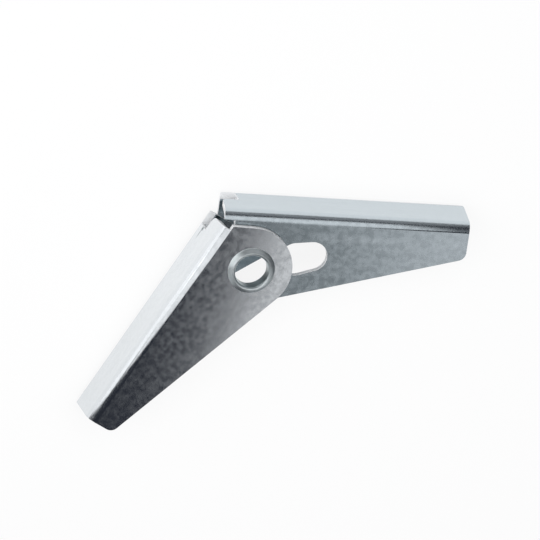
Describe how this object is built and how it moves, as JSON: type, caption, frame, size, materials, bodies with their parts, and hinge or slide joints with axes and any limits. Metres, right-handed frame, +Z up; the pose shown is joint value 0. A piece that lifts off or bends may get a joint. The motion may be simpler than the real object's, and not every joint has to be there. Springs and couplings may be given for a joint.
{
  "type": "toggle bolt wings",
  "caption": "Toggle wings for hollow walls: tapered zinc-plated steel channels hinged on a hollow rivet, one with a long slot.",
  "frame": {"origin": "on the hinge axis, midway between the near ears, in the middle of the hollow rivet", "axes": "+Z up the hinge axis, away from the faces that the wings lie on; +X roughly along the slotted wing, from the hinge to its tip; +Y out through its web"},
  "size_m": [0.0803, 0.0459, 0.0146],
  "materials": {
    "zinc_left": "bright zinc plating on pressed steel, mottled",
    "zinc_right": "bright zinc plating on pressed steel, mottled",
    "zinc_rivet": "bright zinc plating, rolled smooth"
  },
  "bodies": {
    "left_half": {"left_wing": "zinc_left", "hollow_rivet": "zinc_rivet"},
    "right_half": {"right_wing": "zinc_right"}
  },
  "joints": [
    {"name": "wing_fold", "type": "hinge", "parent": "left_half", "child": "right_half", "pos_m": [0, 0, 0], "axis": [0, 0, 1], "range_deg": [-117, 2]}
  ]
}
